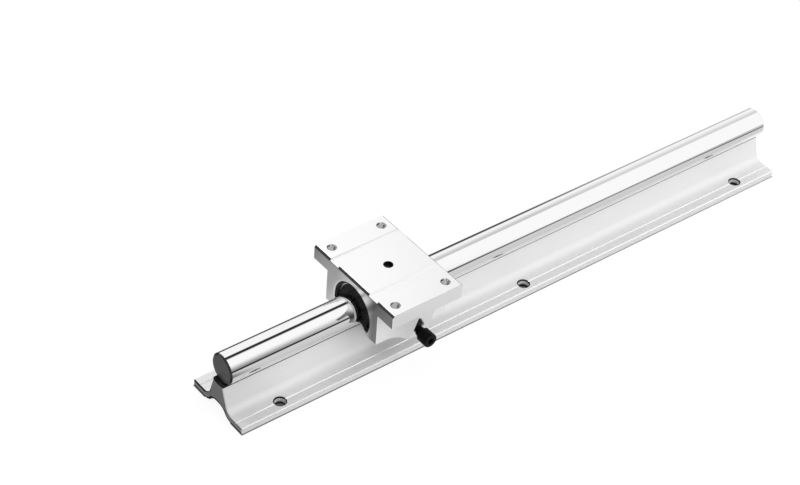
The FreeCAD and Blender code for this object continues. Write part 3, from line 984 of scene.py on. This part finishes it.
# %% Socket head screws
KNURL_DEPTH = 0.12 * MM
KNURL_GAP = 0.012
FLUTES = 36
HEAD_ROUND = 0.11
SOCKET_DEPTH = 2.5 * MM
SHANK_RADIUS = 2.5 * MM
SHANK_SIDES = 48
SHANK_CHAMFER = 0.4 * MM
SHANK_OVERLAP = 0.2 * MM
PLAIN_TIP = 0.5 * MM


def screw_head(name, radius, length, across_flats):
    """A knurled head with a socket. Its outer face is at z = 0 and the rest is above."""
    bpy.ops.object.select_all(action="DESELECT")
    bpy.ops.mesh.primitive_cylinder_add(vertices=FLUTES * 2, radius=radius, depth=length,
                                        location=(0, 0, length / 2))
    head = bpy.context.object
    head.name = name
    bpy.ops.object.transform_apply()
    bpy.ops.object.mode_set(mode="EDIT")
    select_faces(head, lambda centre, normal: facing(normal.z))
    bpy.ops.mesh.bevel(offset=radius * HEAD_ROUND, segments=3, affect="EDGES")
    select_faces(head, lambda centre, normal: abs(normal.z) < 0.1 and round(
        math.atan2(centre.y, centre.x) / (math.pi / FLUTES) - 0.5) % 2 == 0)
    bpy.ops.mesh.inset(thickness=radius * KNURL_GAP, depth=-KNURL_DEPTH, use_individual=True)
    bpy.ops.object.mode_set(mode="OBJECT")
    bpy.ops.object.select_all(action="DESELECT")
    bpy.ops.mesh.primitive_cylinder_add(vertices=6, radius=across_flats / 3 ** 0.5,
                                        depth=SOCKET_DEPTH * 2)
    hexagon = bpy.context.object
    apply_modifier(head, "BOOLEAN", object=hexagon, operation="DIFFERENCE", solver="EXACT")
    bpy.data.objects.remove(hexagon)
    return head


def screw_shank(radius, start, length):
    """A chamfered rod from just below z = start to that length above it."""
    bpy.ops.object.select_all(action="DESELECT")
    bpy.ops.mesh.primitive_cylinder_add(
        vertices=SHANK_SIDES, radius=radius, depth=length + SHANK_OVERLAP,
        location=(0, 0, start + (length - SHANK_OVERLAP) / 2))
    shank = bpy.context.object
    bpy.ops.object.transform_apply()
    bpy.ops.object.mode_set(mode="EDIT")
    select_faces(shank, lambda centre, normal: normal.z > 0.9)
    bpy.ops.mesh.bevel(offset=SHANK_CHAMFER, segments=1, affect="EDGES")
    bpy.ops.object.mode_set(mode="OBJECT")
    return shank


def socket_screw(name, head_radius, head_length, shank_length, across_flats):
    """A screw that stands on its head, with the shank and its thread above."""
    piece = screw_head(name, head_radius, head_length, across_flats)
    root = SHANK_RADIUS - THREAD_DEPTH
    shank = screw_shank(root, head_length, shank_length)
    helix = thread(name + "_thread", root - THREAD_SINK, shank_length - PLAIN_TIP, inside=False)
    put(helix, (0, 0, head_length))
    select_only(piece)
    shank.select_set(True)
    helix.select_set(True)
    bpy.ops.object.join()
    smooth(piece, 30)
    paint(piece, black_oxide)
    print(name, "has", len(piece.data.polygons), "faces")
    return piece


print("a knurled head has", FLUTES, "flutes")


# %% [markdown]
# The lock screw sits in the side of the block and squeezes the bearing, and three longer screws
# hold the shaft from below. They take their places, lengths and head radii from the solids. The
# three are alike, so one is modelled and copied. It is stood on its head first, because a screw
# that is made upright on the origin needs only one turn and one move.

# %% Lock screw and shaft screws
LOCK_HEAD = 6.4 * MM
LOCK_SOCKET = 3 * MM
RAIL_SCREW_HEAD = 5 * MM
RAIL_SCREW_SOCKET = 4 * MM

lock_low, lock_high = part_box("lock_screw")
lock = socket_screw("lock_screw_black", lock_high.x - BLOCK_MIDDLE, LOCK_HEAD,
                    lock_high.y - lock_low.y - LOCK_HEAD, LOCK_SOCKET)
put(lock, (BLOCK_MIDDLE, lock_low.y, (lock_low.z + lock_high.z) / 2), (-math.pi / 2, 0, 0))
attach(lock, "carriage")
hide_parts("lock_screw")

screw_low, screw_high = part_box("shaft_screw_2")
model = socket_screw("rail_screw", screw_high.x, RAIL_SCREW_HEAD,
                     screw_high.z - screw_low.z - RAIL_SCREW_HEAD, RAIL_SCREW_SOCKET)
for number, x in enumerate(HOLE_ROWS, 1):
    copy = put(twin(model, f"rail_screw_{number}"), (x, 0, screw_low.z))
    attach(copy, "rail")
    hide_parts(f"shaft_screw_{number}")
bpy.data.objects.remove(model)


# %% [markdown]
# The bearing's shell, cage and seals and the two retaining rings keep their solids, because
# nothing is missing from their shapes. A solid must not change, so only the material in its
# slot is set here.

# %% Finishes of the solids that stay
for node, material in {
        "bearing_shell": ground_steel, "bearing_cage": moulded, "bearing_seal_1": rubber,
        "bearing_seal_2": rubber, "retaining_ring_1": phosphate,
        "retaining_ring_2": phosphate}.items():
    frame["nodes"][node].material_slots[0].material = material
    print(node, "is", material.name)
